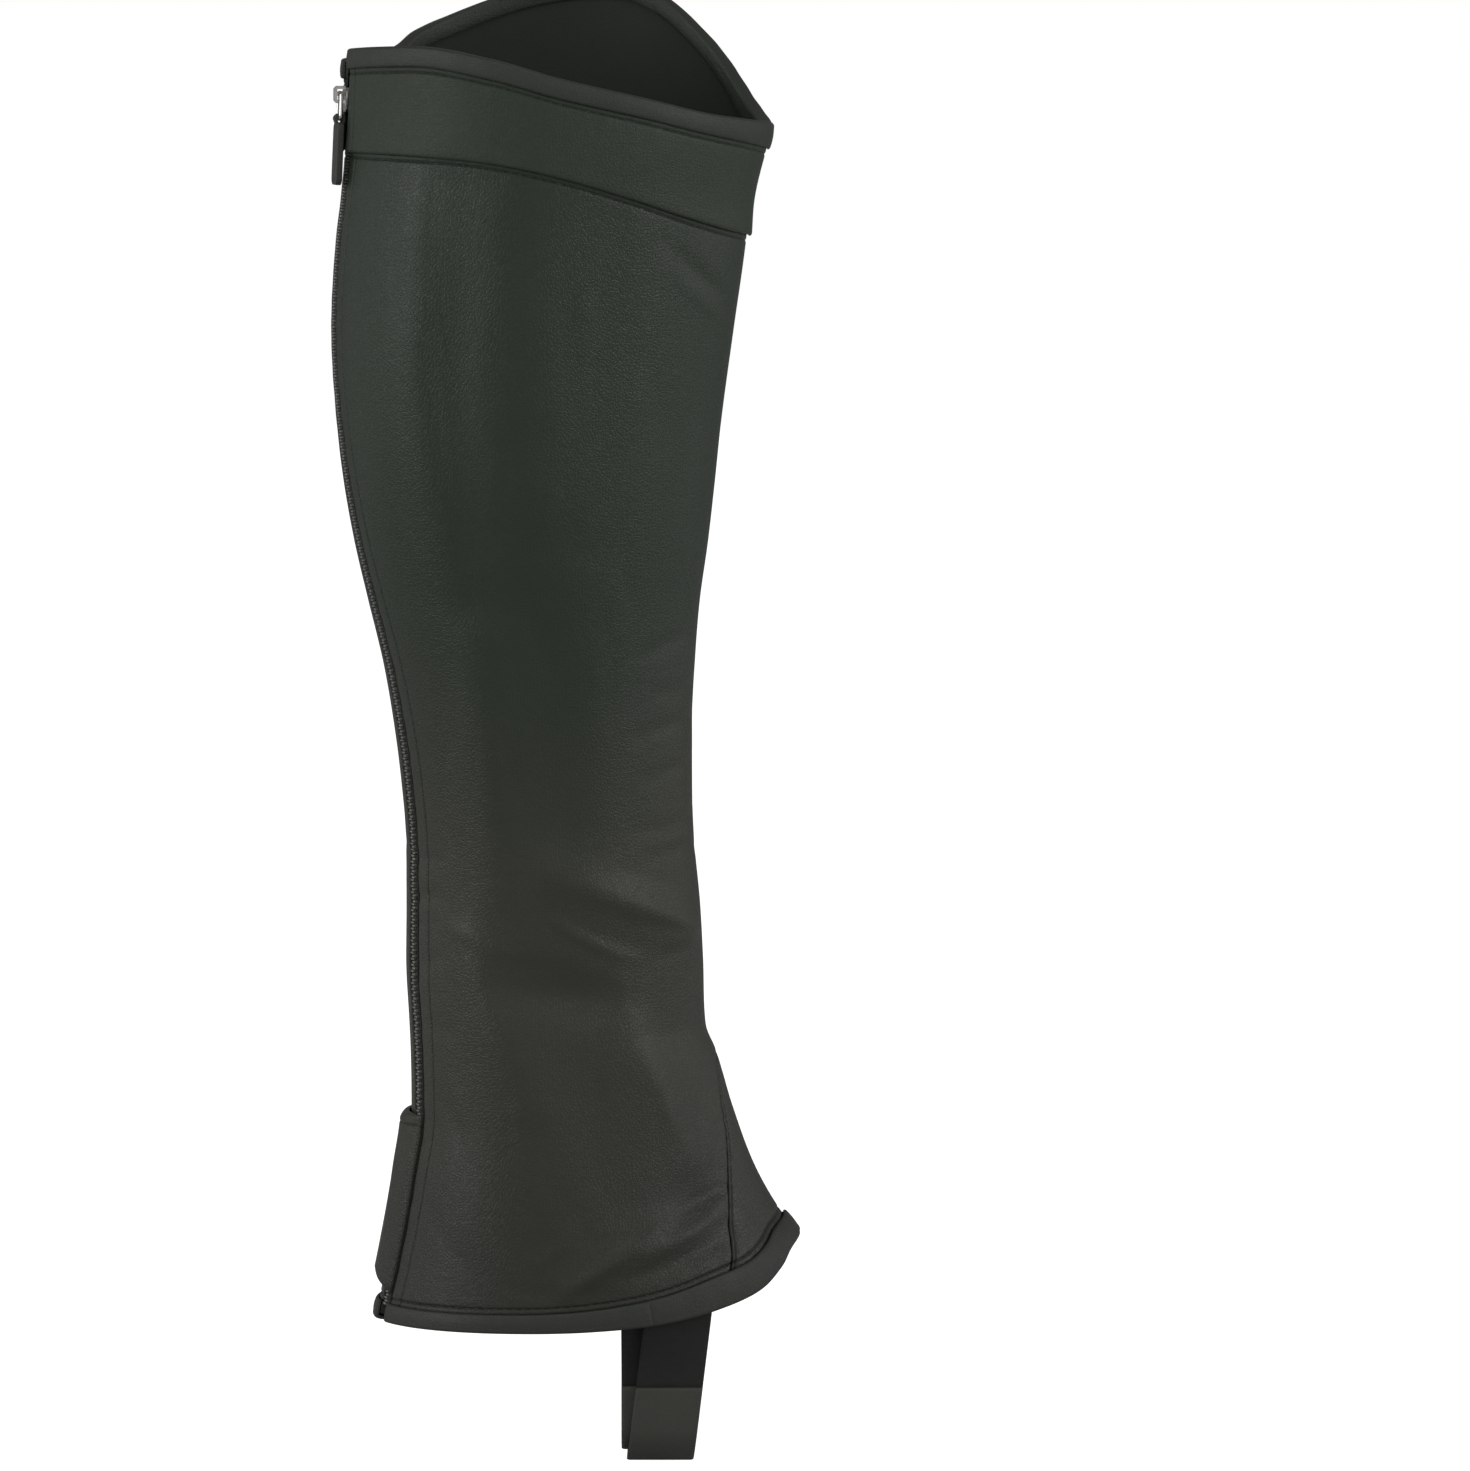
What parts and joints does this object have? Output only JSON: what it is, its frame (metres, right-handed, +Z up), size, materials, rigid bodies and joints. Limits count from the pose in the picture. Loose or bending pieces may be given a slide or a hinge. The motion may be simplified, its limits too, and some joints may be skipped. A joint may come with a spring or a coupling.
{
  "type": "half chap",
  "caption": "Smooth dark leather half chap for the left leg, worn shape, with a high outer rim, rear zip, instep gusset and elastic foot strap.",
  "frame": {"origin": "on the leg's axis at the widest part of the calf", "axes": "+X towards the toe, +Y towards the outer side of the left leg, +Z up the leg"},
  "size_m": [0.1613, 0.1268, 0.5098],
  "materials": {
    "leather": "smooth, fine grain, soft sheen",
    "binding_leather": "smooth, fine grain, soft sheen",
    "elastic": "matt ribbed elastic",
    "zip_tape": "matt woven tape",
    "zip_teeth": "satin",
    "nickel": "polished nickel"
  },
  "bodies": {
    "chap": {"body_panel": "leather", "instep_gusset": "leather", "top_band": "leather", "zip_guard_flap": "leather", "strap_leather_outer": "leather", "strap_leather_inner": "leather", "top_binding": "binding_leather", "hem_binding": "binding_leather", "strap_elastic_outer_medial": "elastic", "strap_elastic_outer_lateral": "elastic", "strap_elastic_inner_medial": "elastic", "strap_elastic_inner_lateral": "elastic", "zip_tape_inner": "zip_tape", "zip_tape_outer": "zip_tape", "zip_chain": "zip_teeth", "zip_slider": "nickel"},
    "zip_pull": {"pull_ring": "nickel", "pull_tab": "leather"}
  },
  "joints": [
    {"name": "pull_swing", "type": "hinge", "parent": "chap", "child": "zip_pull", "pos_m": [-0.06504, -0.01325, 0.0815], "axis": [-0.2098, 0.9777, 0], "range_deg": [0, 150]}
  ]
}
